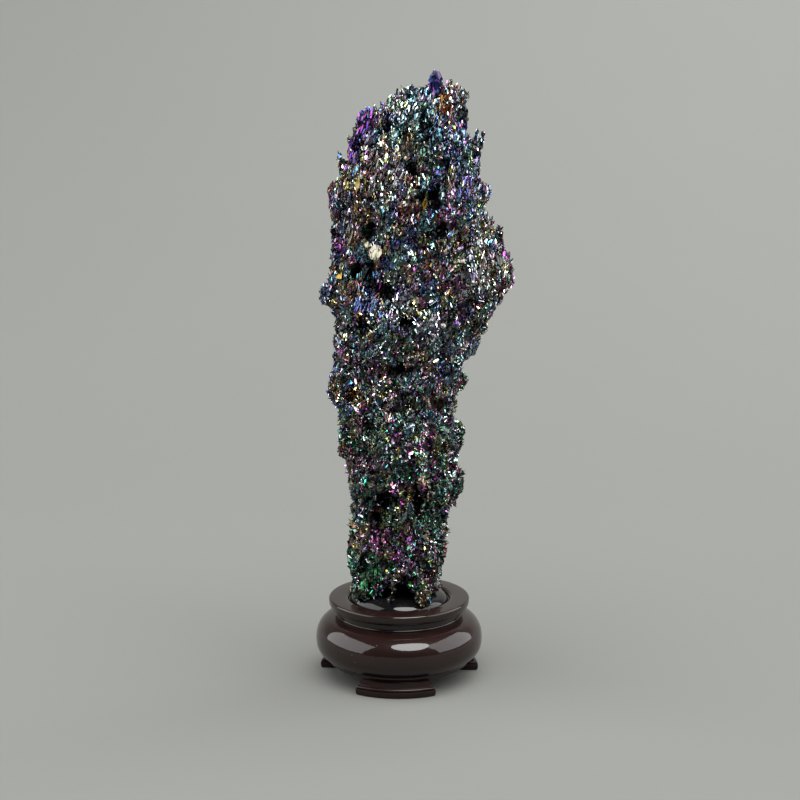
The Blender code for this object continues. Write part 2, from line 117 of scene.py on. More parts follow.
def feed(tree, node, values):
    # Links or sets the node's named or numbered inputs. A colour of three numbers gets an alpha of 1.
    for key, value in values.items():
        socket = node.inputs[key]
        if isinstance(value, bpy.types.NodeSocket):
            tree.links.new(value, socket)
        elif socket.type == "RGBA" and len(value) == 3:
            socket.default_value = (*value, 1.0)
        else:
            socket.default_value = value


def addNode(tree, kind, values=None, **settings):
    node = tree.nodes.new(kind)
    for key, value in settings.items():
        setattr(node, key, value)
    feed(tree, node, values or {})
    return node


def addMath(tree, operation, first, second, clamp=False):
    values = {0: first, 1: second}
    return addNode(tree, "ShaderNodeMath", values, operation=operation, use_clamp=clamp).outputs[0]


def objectPlace(tree):
    return addNode(tree, "ShaderNodeTexCoord").outputs["Object"]


def addNoise(tree, scale, detail, roughness, vector=None):
    vector = vector or objectPlace(tree)
    values = {"Scale": scale, "Detail": detail, "Roughness": roughness, "Vector": vector}
    return addNode(tree, "ShaderNodeTexNoise", values).outputs["Fac"]


def addRamp(tree, factor, stops):
    ramp = addNode(tree, "ShaderNodeValToRGB", {"Fac": factor})
    elements = ramp.color_ramp.elements
    while len(elements) < len(stops):
        elements.new(0.5)
    for element, (position, colour) in zip(elements, stops):
        element.position = position
        element.color = (*colour, 1.0)
    return ramp.outputs["Color"]


def addMix(tree, factor, first, second, blend="MIX"):
    # A mix node's colour sockets are its inputs 6 and 7 and its output 2.
    values = {0: factor, 6: first, 7: second}
    return addNode(tree, "ShaderNodeMix", values, data_type="RGBA", blend_type=blend).outputs[2]


# Interference colours in the order that a thickening film shows them.
filmColours = {
    "silver": (0.00, (0.72, 0.73, 0.74)),
    "straw": (0.06, (0.80, 0.74, 0.45)),
    "gold": (0.12, (0.74, 0.50, 0.09)),
    "copper": (0.18, (0.66, 0.22, 0.05)),
    "wine": (0.24, (0.50, 0.05, 0.22)),
    "violet": (0.30, (0.27, 0.07, 0.56)),
    "blue": (0.36, (0.06, 0.15, 0.66)),
    "sky": (0.43, (0.12, 0.44, 0.76)),
    "cyan": (0.50, (0.22, 0.74, 0.78)),
    "mint": (0.56, (0.48, 0.82, 0.60)),
    "lime": (0.62, (0.56, 0.76, 0.14)),
    "yellow": (0.68, (0.80, 0.62, 0.12)),
    "rose": (0.74, (0.80, 0.28, 0.30)),
    "magenta": (0.80, (0.66, 0.06, 0.50)),
    "purple": (0.86, (0.30, 0.07, 0.50)),
    "teal": (0.92, (0.03, 0.40, 0.34)),
    "green": (0.98, (0.05, 0.52, 0.10)),
}


# Fine growth lines that run up a face, and how bright the face is where their noise has this value.
streaks = {
    "stretch": (1.0, 1.0, 0.3),
    "turn": (0.0, 0.12, 0.0),
    "brightness": {0.36: 0.10, 0.46: 0.66, 0.54: 1.22, 0.66: 1.5},
}
filmWear = {"pale": (0.74, 0.76, 0.78), "lowest": 0.06, "range": 0.12}


def makeFilmGroup():
    # Tint holds a crystal's film, sheen and silver share; the group turns them into a colour.
    inputs = {"Tint": (0.5, 0.5, 0.0, 1.0), "Drift": 0.05, "Drift Scale": 260.0, "Streak Scale": 1600.0}
    outputs = {"Color": "NodeSocketColor", "Roughness": "NodeSocketFloat"}
    group, given, result = newGroup("thinFilmColour", inputs, outputs)
    split = addNode(group, "ShaderNodeSeparateColor", {0: given["Tint"]})
    waver = addNoise(group, given["Drift Scale"], 2.0, 0.6)
    shift = addMath(group, "MULTIPLY", addMath(group, "SUBTRACT", waver, 0.5), given["Drift"])
    hue = addRamp(group, addMath(group, "ADD", split.outputs[0], shift), list(filmColours.values()))
    pale = addMix(group, split.outputs[2], hue, filmWear["pale"])
    sheen = addNode(group, "ShaderNodeCombineColor", {channel: split.outputs[1] for channel in range(3)})
    shaded = addMix(group, 1.0, pale, sheen.outputs[0], "MULTIPLY")
    mapping = {"Vector": objectPlace(group), "Scale": streaks["stretch"], "Rotation": streaks["turn"]}
    upright = addNode(group, "ShaderNodeMapping", mapping).outputs["Vector"]
    lines = addNoise(group, given["Streak Scale"], 3.0, 0.6, upright)
    bands = addRamp(group, lines, [(place, (grey,) * 3) for place, grey in streaks["brightness"].items()])
    group.links.new(addMix(group, 1.0, shaded, bands, "MULTIPLY"), result["Color"])
    worn = addMath(group, "MULTIPLY", waver, filmWear["range"])
    group.links.new(addMath(group, "ADD", worn, filmWear["lowest"]), result["Roughness"])
    return group


def makeDustGroup():
    # A sparse scatter of specks, and a faint uneven haze between them.
    inputs = {"Speck Scale": 620.0, "Speck Size": 0.16, "Speck Rarity": 0.97,
              "Haze Scale": 55.0, "Haze": 0.1}
    outputs = {"Specks": "NodeSocketFloat", "Haze": "NodeSocketFloat"}
    group, given, result = newGroup("fineDust", inputs, outputs)
    place = objectPlace(group)
    cells = addNode(group, "ShaderNodeTexVoronoi", {"Vector": place, "Scale": given["Speck Scale"]})
    near = addMath(group, "LESS_THAN", cells.outputs["Distance"], given["Speck Size"])
    chosen = addNode(group, "ShaderNodeSeparateColor", {0: cells.outputs["Color"]})
    rare = addMath(group, "GREATER_THAN", chosen.outputs[0], given["Speck Rarity"])
    group.links.new(addMath(group, "MULTIPLY", near, rare), result["Specks"])
    cloud = addNoise(group, given["Haze Scale"], 4.0, 0.65, place)
    group.links.new(addMath(group, "MULTIPLY", cloud, given["Haze"]), result["Haze"])
    return group


filmGroup = makeFilmGroup()
dustGroup = makeDustGroup()


def newMaterial(name):
    material = bpy.data.materials.new(name)
    material.use_nodes = True
    return material, material.node_tree, material.node_tree.nodes["Principled BSDF"]


def addBump(tree, height, strength, distance):
    values = {"Height": height, "Strength": strength, "Distance": distance}
    return addNode(tree, "ShaderNodeBump", values).outputs["Normal"]


rippleDepth = 0.2 * mm


def makeCrystalMaterial(name, values):
    material, tree, shader = newMaterial(name)
    tint = addNode(tree, "ShaderNodeAttribute", attribute_name="crystalTint").outputs["Color"]
    given = {"Tint": tint, **values["film"]}
    film = addNode(tree, "ShaderNodeGroup", given, node_tree=filmGroup).outputs
    ripple = addNoise(tree, values["rippleScale"], 3.0, 0.6)
    feed(tree, shader, {
        "Base Color": film["Color"],
        "Roughness": addMath(tree, "ADD", film["Roughness"], values["roughness"]),
        "Metallic": values["metallic"],
        "Normal": addBump(tree, ripple, values["ripple"], rippleDepth),
    })
    return material


lacquerFinish = {
    "dark": (0.0070, 0.0030, 0.0026),
    "warm": (0.0130, 0.0056, 0.0046),
    "coat": {"Coat Weight": 0.76, "Coat Roughness": 0.045},
    "peel": 0.16,
}
footFinish = {
    "dark": (0.0085, 0.0036, 0.0030),
    "warm": (0.0150, 0.0064, 0.0052),
    "coat": {"Coat Weight": 0.45, "Coat Roughness": 0.26},
    "peel": 0.10,
}
woodGrain = {
    "stretch": (18.0, 240.0, 240.0),
    "cloudScale": 30.0,
    "contrast": 2.2,
    "dust": {"Speck Scale": 620.0, "Speck Size": 0.16, "Haze": 0.10},
    "dustColour": (0.10, 0.09, 0.08),
    "roughness": 0.30,
    "specular": 0.05,
    "peelScale": 130.0,
    "peelDepth": 0.6 * mm,
}


def makeLacquer(name, values):
    material, tree, shader = newMaterial(name)
    w = woodGrain
    place = objectPlace(tree)
    stretched = addNode(tree, "ShaderNodeMapping", {"Vector": place, "Scale": w["stretch"]})
    grain = addNoise(tree, 1.0, 5.0, 0.6, stretched.outputs["Vector"])
    wood = addMath(tree, "MULTIPLY", grain, addNoise(tree, w["cloudScale"], 3.0, 0.5, place))
    warmth = addMath(tree, "MULTIPLY", wood, w["contrast"], clamp=True)
    colour = addMix(tree, warmth, values["dark"], values["warm"])
    dust = addNode(tree, "ShaderNodeGroup", w["dust"], node_tree=dustGroup).outputs
    peel = addNoise(tree, w["peelScale"], 2.0, 0.5, place)
    feed(tree, shader, {
        "Base Color": addMix(tree, dust["Specks"], colour, w["dustColour"]),
        "Roughness": addMath(tree, "ADD", dust["Haze"], w["roughness"]),
        "Specular IOR Level": w["specular"],
        "Coat Normal": addBump(tree, peel, values["peel"], w["peelDepth"]),
        **values["coat"],
    })
    return material


resinFinish = {
    "surface": {"Base Color": (0.0045, 0.0045, 0.0050), "Roughness": 0.045, "Specular IOR Level": 0.34},
    "wave": 0.12,
    "waveScale": 150.0,
    "waveDepth": 0.6 * mm,
}


def makeResin(name, values):
    material, tree, shader = newMaterial(name)
    waves = addNoise(tree, values["waveScale"], 1.0, 0.4)
    normal = addBump(tree, waves, values["wave"], values["waveDepth"])
    feed(tree, shader, {"Normal": normal, **values["surface"]})
    return material


crystalFinish = {
    "film": {"Drift": 0.16, "Drift Scale": 700.0, "Streak Scale": 1700.0},
    "roughness": 0.0,
    "metallic": 1.0,
    "rippleScale": 900.0,
    "ripple": 0.25,
}
matrixFinish = {
    "film": {"Drift": 0.40, "Drift Scale": 500.0, "Streak Scale": 1300.0},
    "roughness": 0.16,
    "metallic": 0.9,
    "rippleScale": 1400.0,
    "ripple": 0.5,
}
plateFinish = {
    "film": {"Drift": 0.10, "Drift Scale": 150.0, "Streak Scale": 700.0},
    "roughness": 0.14,
    "metallic": 1.0,
    "rippleScale": 500.0,
    "ripple": 0.2,
}
crystalMaterial = makeCrystalMaterial("iridescentCrystal", crystalFinish)
matrixMaterial = makeCrystalMaterial("crystalMatrix", matrixFinish)
plateMaterial = makeCrystalMaterial("iridescentPlate", plateFinish)
lacquer = makeLacquer("lacqueredWood", lacquerFinish)
resin = makeResin("blackResin", resinFinish)
footLacquer = makeLacquer("dullLacqueredWood", footFinish)
print("materials made")


# The turned body of the stand

standBody = {
    "steps": 144,
    "rimRadius": 37.95 * mm,
    "rimEdge": 1.1 * mm,
    "rimBellyHeight": 40.4 * mm,
    "rimUnderside": (34.9 * mm, 36.8 * mm),
    "neckRadius": 33.2 * mm,
    "neckTop": 35.8 * mm,
    "bead": (33.35 * mm, 33.0 * mm, 0.65 * mm),
    "bulgeCentre": (31.0 * mm, 19.4 * mm),
    "bulgeUp": 13.2 * mm,
    "bulgeDown": 10.8 * mm,
    "squareness": 2.4,
    "bowlRadius": 27.1 * mm,
    "bowlLip": 2.0 * mm,
    "bowlFloor": 37.0 * mm,
    "bowlPower": 4,
    "bowlSteps": (0.0, 0.97, 16),
    "lipArc": (180, 90, 10),
    "edgeArc": (90, 0, 8),
    "bellyArc": (-6, -90, 12),
    "beadArc": (80, -60, 8),
    "upperArc": (80, 0, 26),
    "lowerArc": (-4, -64, 18),
    "baseRadius": 38.2 * mm,
    "baseStep": 1.6 * mm,
}


def bowlHeight(radius):
    s = standBody
    rise = bodyHigh.z - s["bowlLip"] - s["bowlFloor"]
    return s["bowlFloor"] + rise * np.minimum(radius / s["bowlRadius"], 1.0) ** s["bowlPower"]


def standProfile():
    s = standBody
    rimTop = bodyHigh.z
    bulgeDepth = bodyHigh.x - standAxis.x - s["bulgeCentre"][0]
    lip = s["bowlLip"]
    beadRadius, beadHeight, beadSize = s["bead"]
    points = [(r, bowlHeight(r)) for r in np.linspace(*s["bowlSteps"]) * s["bowlRadius"]]
    points += roundedQuarter((s["bowlRadius"] + lip, rimTop - lip), (lip, lip), *s["lipArc"])
    edge = s["rimEdge"]
    points += roundedQuarter((s["rimRadius"] - edge, rimTop - edge), (edge, edge), *s["edgeArc"])
    bellyCentre = (s["rimUnderside"][0], s["rimBellyHeight"])
    bellyRadii = (s["rimRadius"] - bellyCentre[0], bellyCentre[1] - s["rimUnderside"][1])
    points += roundedQuarter(bellyCentre, bellyRadii, *s["bellyArc"], s["squareness"])
    points += [(s["neckRadius"], s["neckTop"]), (s["neckRadius"], beadHeight + beadSize)]
    points += roundedQuarter((beadRadius, beadHeight), (beadSize, beadSize), *s["beadArc"])
    points += roundedQuarter(s["bulgeCentre"], (bulgeDepth, s["bulgeUp"]), *s["upperArc"], s["squareness"])
    points += roundedQuarter(s["bulgeCentre"], (bulgeDepth, s["bulgeDown"]), *s["lowerArc"], s["squareness"])
    points += [(s["baseRadius"], bodyLow.z + s["baseStep"]), (s["baseRadius"], bodyLow.z), (0.0, bodyLow.z)]
    return points


def turned(profile, steps):
    # A solid of revolution from a profile of radii and heights.
    bm = bmesh.new()
    verts, edges = addLine(bm, [(radius, 0.0, height) for radius, height in profile])
    bmesh.ops.spin(bm, geom=verts + edges, axis=(0, 0, 1), cent=(0, 0, 0), steps=steps,
                   angle=2 * math.pi, use_merge=True)
    bmesh.ops.remove_doubles(bm, verts=bm.verts, dist=0.01 * mm)
    return bm


def makeStandBody():
    bm = turned(standProfile(), standBody["steps"])
    bmesh.ops.translate(bm, vec=standAxis, verts=bm.verts)
    return finishPiece("standBody", smoothMesh(bm, "standBody"), lacquer, ["stand_body"])


# The black resin setting in the bowl

setting = {
    "radius": 26.6 * mm,
    "shoulder": 8.0 * mm,
    "foot": 39.7 * mm,
    "rise": 5.7 * mm,
    "tilt": (-0.035, -0.015),
    "arc": (90, 7, 20),
    "underside": (0.95, 0.0, 8),
    "gap": 0.4 * mm,
    "steps": 120,
}


def settingHeight(x, y):
    # Top of the setting at places measured from the stand's axis.
    s = setting
    out = np.clip((np.hypot(x, y) - s["radius"] + s["shoulder"]) / s["shoulder"], 0.0, 1.0)
    rise = s["rise"] + s["tilt"][0] * x + s["tilt"][1] * y
    return s["foot"] + rise * np.sqrt(1 - out ** 2)


def makeSetting():
    s = setting
    middle = (s["radius"] - s["shoulder"], s["foot"])
    points = [(0.0, s["foot"] + s["rise"])]
    points += roundedQuarter(middle, (s["shoulder"], s["rise"]), *s["arc"])
    under = np.linspace(*s["underside"]) * standBody["bowlRadius"]
    points += [(radius, bowlHeight(radius) + s["gap"]) for radius in under]
    bm = turned(points, s["steps"])
    for vert in bm.verts:
        share = max(vert.co.z - s["foot"], 0.0) / s["rise"]
        vert.co.z += share * (s["tilt"][0] * vert.co.x + s["tilt"][1] * vert.co.y)
    bmesh.ops.translate(bm, vec=standAxis, verts=bm.verts)
    return finishPiece("resinPad", smoothMesh(bm, "resinPad"), resin, ["setting"])


# The three stepped feet

feet = {
    "angles": {"foot_front": -2.7, "foot_back_right": 117.3, "foot_back_left": -122.7},
    "span": 58.0,
    "outer": 43.1 * mm,
    "inner": 30.0 * mm,
    "steps": 24,
    "plinth": 3.3 * mm,
    "beadInset": 0.5 * mm,
    "beadTop": 4.9 * mm,
    "bandInset": 2.1 * mm,
    "bandHollow": 0.15 * mm,
    "bandTop": 7.5 * mm,
    "endShare": 0.75,
    "plinthTuck": 0.7 * mm,
    "tuckShares": (0.25, 0.35),
    "beadArc": (-80, 80, 7),
    "bandSteps": 5,
    "rounding": 0.35 * mm,
    "roundedAngle": 50,
    "roundingSteps": 3,
}


def footTiers():
    # How far each tier of the moulding steps in from the plinth, and its height.
    f = feet
    inset, height = f["tuckShares"]
    tiers = [(f["plinthTuck"], 0.0), (inset * f["plinthTuck"], height * f["plinth"]), (0.0, f["plinth"])]
    beadHeight = f["beadTop"] - f["plinth"]
    for turn in np.linspace(*f["beadArc"]):
        bulge = math.cos(math.radians(turn)) * beadHeight / 2
        tiers.append((f["beadInset"] + beadHeight / 2 - bulge,
                      f["plinth"] + beadHeight / 2 * (1 + math.sin(math.radians(turn)))))
    for share in np.linspace(0, 1, f["bandSteps"]):
        hollow = f["bandHollow"] * math.sin(math.pi * share)
        tiers.append((f["bandInset"] + hollow, f["beadTop"] + share * (f["bandTop"] - f["beadTop"])))
    return tiers


def footOutline(bm, angle, inset, height):
    # A ring segment seen from above, all its outer sides moved inwards by the inset.
    f = feet
    outer = f["outer"] - inset
    half = math.radians(f["span"]) / 2 - f["endShare"] * inset / outer
    turns = np.linspace(-half, half, f["steps"] + 1) + math.radians(angle)
    places = [(outer, turn) for turn in turns] + [(f["inner"], turn) for turn in turns[::-1]]
    verts = [bm.verts.new((r * math.sin(t), -r * math.cos(t), height)) for r, t in places]
    return [bm.edges.new(pair) for pair in zip(verts, verts[1:] + verts[:1])]


def makeFoot(node, angle):
    bm = bmesh.new()
    outlines = [footOutline(bm, angle, inset, height) for inset, height in footTiers()]
    for lower, upper in zip(outlines, outlines[1:]):
        bmesh.ops.bridge_loops(bm, edges=lower + upper)
    for outline in (outlines[0], outlines[-1]):
        bmesh.ops.edgeloop_fill(bm, edges=outline)
    bmesh.ops.recalc_face_normals(bm, faces=bm.faces)
    corner = math.radians(feet["roundedAngle"])
    sharp = [e for e in bm.edges if len(e.link_faces) == 2 and e.calc_face_angle() > corner]
    bmesh.ops.bevel(bm, geom=sharp, offset=feet["rounding"], offset_type="OFFSET", profile=0.5,
                    segments=feet["roundingSteps"], affect="EDGES", material=-1, clamp_overlap=True)
    bmesh.ops.translate(bm, vec=standAxis, verts=bm.verts)
    words = node.split("_")
    name = words[0] + "".join(word.capitalize() for word in words[1:])
    return finishPiece(name, smoothMesh(bm, name), footLacquer, [node])


makeStandBody()
makeSetting()
for node, angle in feet["angles"].items():
    makeFoot(node, angle)
print("stand made")


# The crystal mass: a rough matrix under the plates

grainLean = 0.14

matrixShape = {
    "voxel": 1.25 * mm,
    "sink": 1.0 * mm,
    "relief": 0.9 * mm,
    "reliefSize": (1.9 * mm, 1.9 * mm, 4.2 * mm),
    "clumpSize": (5.0 * mm, 5.0 * mm, 8.5 * mm),
    "crevice": 2.4 * mm,
    "creviceWidth": 0.30,
    "frontLimit": 4.0 * mm,
    "ragged": 1.1,
    "raggedSize": 3.4 * mm,
    "raggedStretch": (1.0, 1.0, 0.5),
    "raggedOffset": 7.0,
    "patchFade": (1.6, 1.2),
    "seed": 5,
    "filmSpread": 0.05,
    # Share of sheen the matrix keeps: painted shade for the gaps between the plates.
    "gapShade": 0.30,
}

# Hollows pushed into the matrix, their crystals darkened with painted shade, in millimetres. Each row: x and
# z of the middle, half width, half height, depth.
darkHollows = {
    "besideCreamPlate": (-25.5, 217, 5.0, 5.5, 5.5),
    "underCreamPlate": (-16.5, 208, 5.5, 4.5, 5.0),
    "upperPit": (8.0, 253.5, 4.5, 5.5, 4.5),
    "crestCleft": (5.0, 289, 2.6, 8.0, 4.0),
    "aboveBlade": (-1.5, 268, 2.5, 5.0, 3.0),
    "rightOfBlade": (14.5, 271, 3.0, 3.5, 3.0),
    "underPit": (11.5, 238, 5.0, 3.5, 4.0),
    "leftShadow": (-23.0, 239, 4.5, 3.5, 3.0),
    "crestLeft": (-14.5, 291, 2.0, 6.0, 2.5),
    "middleLeft": (-27.0, 190, 3.5, 5.0, 3.0),
    "middle": (-3.0, 192, 4.0, 3.5, 3.0),
    "waist": (-8.0, 168, 4.5, 4.0, 3.5),
    "waistRight": (12.0, 150, 4.5, 4.0, 3.5),
    "waistLeft": (-24.0, 140, 3.5, 5.0, 3.0),
    "underBrow": (-14.5, 99, 7.0, 4.0, 4.5),
    "lowCave": (2.0, 99, 4.0, 5.0, 4.5),
    "lowSlant": (-21.0, 90, 4.5, 4.0, 3.5),
    "lowLeft": (-27.5, 64, 3.0, 5.0, 2.5),
    "aboveArch": (-7.5, 56, 5.0, 4.0, 1.5),
    "arch": (-9.5, 49, 8.5, 6.0, 0.5),
}

# Places where one colour rules. Each row: x, z and radius in millimetres, film and its spread, the share
# of crystals that have it, their silver, and how much more often they face a lamp.
tintZones = {
    "violetEdgeHigh": (-27, 293, 7, 0.31, 0.05, 0.75, 0.1, 0.2),
    "violetEdgeLow": (-33, 278, 7, 0.31, 0.05, 0.75, 0.1, 0.2),
    "whiteTop": (-5, 299, 10, 0.52, 0.14, 0.5, 0.65, -0.05),
    "tealCrest": (5, 303, 9, 0.48, 0.07, 0.55, 0.2, 0.15),
    "copperCrest": (16, 302, 7, 0.17, 0.05, 0.6, 0.1, 0.1),
    "whiteCrestRight": (24, 300, 8, 0.5, 0.14, 0.6, 0.75, 0),
    "magentaCrestRight": (32, 302, 6, 0.8, 0.07, 0.6, 0.2, 0.1),
    "goldLeft": (-33, 263, 11, 0.12, 0.06, 0.45, 0.25, 0.1),
    "copperLeft": (-37, 274, 7, 0.2, 0.06, 0.45, 0.25, 0),
    "greyStreaks": (-15, 266, 13, 0.3, 0.2, 0.5, 0.85, 0.2),
    "blueRight": (14, 284, 9, 0.42, 0.08, 0.55, 0.15, 0.1),
    "tealRightEdge": (34, 274, 9, 0.5, 0.08, 0.5, 0.3, 0.2),
    "violetRight": (27, 256, 6, 0.33, 0.06, 0.55, 0.2, 0.1),
    "whiteRight": (36, 248, 8, 0.52, 0.14, 0.65, 0.85, 0.2),
    "yellowUpper": (-1, 281, 5, 0.65, 0.06, 0.55, 0.3, 0.1),
    "violetPatch": (-38, 229, 5, 0.31, 0.05, 0.8, 0.05, 0.1),
    "goldSpecks": (-26, 243, 7, 0.13, 0.05, 0.45, 0.2, 0),
    "violetCluster": (-25, 203, 8, 0.37, 0.06, 0.8, 0.1, 0.1),
    "orangeUnder": (-34, 208, 7, 0.15, 0.05, 0.55, 0.1, 0),
    "silverMiddle": (-12, 199, 11, 0.55, 0.14, 0.55, 0.8, 0.15),
    "greyCheek": (35, 226, 15, 0.56, 0.16, 0.45, 0.65, 0.3),
    "greyMiddle": (10, 182, 18, 0.58, 0.2, 0.35, 0.6, 0.25),
    "greyLeft": (-24, 160, 15, 0.55, 0.2, 0.35, 0.6, 0.3),
    "greyLeftHigh": (-26, 182, 13, 0.5, 0.2, 0.35, 0.5, 0.25),
    "greyShelf": (26, 214, 14, 0.58, 0.14, 0.45, 0.7, 0.15),
    "copperMiddle": (8, 221, 5, 0.18, 0.05, 0.55, 0.1, 0.1),
    "magentaMiddle": (17, 214, 6, 0.8, 0.06, 0.5, 0.25, 0.15),
    "yellowRight": (42, 214, 9, 0.66, 0.07, 0.45, 0.3, 0.05),
    "slateMiddle": (12, 186, 11, 0.93, 0.07, 0.4, 0.7, 0),
    "lilacLeft": (-37, 180, 7, 0.84, 0.06, 0.65, 0.35, 0.2),
    "silverKnob": (-40, 166, 7, 0.35, 0.12, 0.6, 0.65, 0.15),
    "orangeStreak": (-30, 153, 6, 0.17, 0.04, 0.65, 0.1, 0.05),
    "yellowMiddle": (-20, 155, 7, 0.65, 0.06, 0.5, 0.3, 0),
    "pinkMiddle": (8, 158, 10, 0.79, 0.05, 0.45, 0.4, 0),
    "greenHalf": (-4, 140, 9, 0.94, 0.05, 0.45, 0.4, 0),
    "magentaLeft": (-22, 120, 8, 0.8, 0.06, 0.5, 0.35, 0),
    "tealRight": (23, 104, 8, 0.93, 0.05, 0.6, 0.35, 0.05),
    "greenRight": (6, 86, 10, 0.94, 0.05, 0.5, 0.4, 0),
    "oliveLeft": (-32, 78, 8, 0.65, 0.05, 0.45, 0.35, 0),
    "magentaLow": (-19, 78, 9, 0.8, 0.05, 0.6, 0.25, 0.05),
    "purpleLow": (2, 70, 9, 0.85, 0.05, 0.5, 0.3, 0),
    "greenFoot": (-24, 58, 12, 0.97, 0.04, 0.65, 0.25, 0.05),
    "slateFoot": (13, 60, 9, 0.92, 0.05, 0.5, 0.7, -0.05),
}


def copyOfNode(name):
    bm = bmesh.new()
    bm.from_mesh(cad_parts[name].data)
    bmesh.ops.remove_doubles(bm, verts=bm.verts, dist=0.001 * mm)
    return plainMesh(bm, name + "Copy")


def remeshed(mesh, voxel):
    helper = linked("remeshHelper", mesh)
    remesh = helper.modifiers.new("voxels", "REMESH")
    remesh.mode = "VOXEL"
    remesh.voxel_size = voxel
    evaluated = helper.evaluated_get(bpy.context.evaluated_depsgraph_get())
    made = bpy.data.meshes.new_from_object(evaluated)
    bpy.data.objects.remove(helper)
    return made


def placesAndNormals(mesh):
    # Where the mesh's corners are, and which way it faces there.
    places, normals = (np.empty(len(mesh.vertices) * 3) for part in range(2))
    mesh.vertices.foreach_get("co", places)
    mesh.vertex_normals.foreach_get("vector", normals)
    return places.reshape(-1, 3), normals.reshape(-1, 3)


def leant(places, lean):
    # The grain leans to the right as it rises, so patterns are read along leaning axes.
    straight = places.copy()
    straight[:, 0] -= lean * straight[:, 2]
    return straight


# Each row mixes the three coordinates of a clump's middle into one of the clump's four numbers.
clumpMixers = np.array([[12.99, 78.23, 37.72], [93.99, 67.35, 22.14],
                        [43.33, 11.14, 61.27], [27.61, 53.42, 83.13]])
clumpScatter = 4375.85


def clumpsAt(places, sizes):
    # The crystals grow in clumps. Each place gets the distance to its clump's border,
    # and four numbers from 0 to 1 that all places of the same clump share.
    cells = leant(places, grainLean) / np.array(sizes)
    borders = np.empty(len(cells))
    middles = np.empty((len(cells), 3))
    for index, cell in enumerate(cells):
        distances, nearest = noise.voronoi(cell)
        borders[index] = distances[1] - distances[0]
        middles[index] = nearest[0]
    keys = np.sin(np.round(middles, 3) @ clumpMixers.T) * clumpScatter
    return borders, keys - np.floor(keys)


def noiseAt(places, size, offset):
    cells = places / size + offset
    return np.array([noise.noise(cell) for cell in cells])


def raggedness(places):
    # An uneven number at each place that gives the patches ragged, upright borders.
    m = matrixShape
    upright = leant(places, grainLean) * np.array(m["raggedStretch"])
    return m["ragged"] * noiseAt(upright, m["raggedSize"], m["raggedOffset"])


def nearness(places, ragged, x, z, halfWidth, halfHeight):
    # 1 in the middle of a patch on the front, fading to 0 just outside its half sizes.
    reach = np.hypot((places[:, 0] - x * mm) / (halfWidth * mm), (places[:, 2] - z * mm) / (halfHeight * mm))
    full, fade = matrixShape["patchFade"]
    near = np.clip(full - fade * (reach + ragged), 0.0, 1.0)
    return np.where(places[:, 1] < matrixShape["frontLimit"], near, 0.0)


def hollowsAt(places, ragged):
    # How deep each place lies in the hollows, and how much painted shade its crystals get there.
    depth = np.zeros(len(places))
    shade = np.zeros(len(places))
    for x, z, halfWidth, halfHeight, deepest in darkHollows.values():
        near = nearness(places, ragged, x, z, halfWidth, halfHeight)
        depth = np.maximum(depth, near * deepest * mm)
        shade = np.maximum(shade, near)
    return depth, shade


def makeMatrixMesh():
    m = matrixShape
    mesh = remeshed(copyOfNode("specimen"), m["voxel"])
    places, normals = placesAndNormals(mesh)
    grains = clumpsAt(places, m["reliefSize"])[0]
    borders = clumpsAt(places, m["clumpSize"])[0]
    crevices = 1 - np.clip(borders / m["creviceWidth"], 0.0, 1.0)
    rise = m["relief"] * grains - m["sink"] - m["crevice"] * crevices ** 2
    depth = hollowsAt(places, raggedness(places))[0] * np.clip(-normals[:, 1], 0.0, 1.0)
    places += normals * rise[:, None]
    places[:, 1] += depth
    mesh.vertices.foreach_set("co", places.ravel())
    mesh.update()
    return mesh


colourPlan = {
    "upperFilm": 0.50,
    "lowerFilm": 0.80,
    "filmChange": (0.30, 0.30),
    "sheenChange": (0.20, 0.14),
    "drift": 0.22,
    "driftSize": 30 * mm,
    "driftLean": 0.1,
    "driftOffset": 3.0,
    "clumpSpread": 0.60,
    "silver": 0.36,
    "silverLower": 0.33,
    "silverSpread": 0.36,
    "clumpSilver": 0.20,
    "zoneSilver": 0.20,
    "lit": 0.46,
    "litLower": 0.20,
    "sheen": (0.08, 1.0),
    "dimness": 1.6,
    "dimnessLower": 2.6,
    "litDimness": 1.3,
    "clumpDimness": 1.8,
    "hollowShade": 0.88,
}


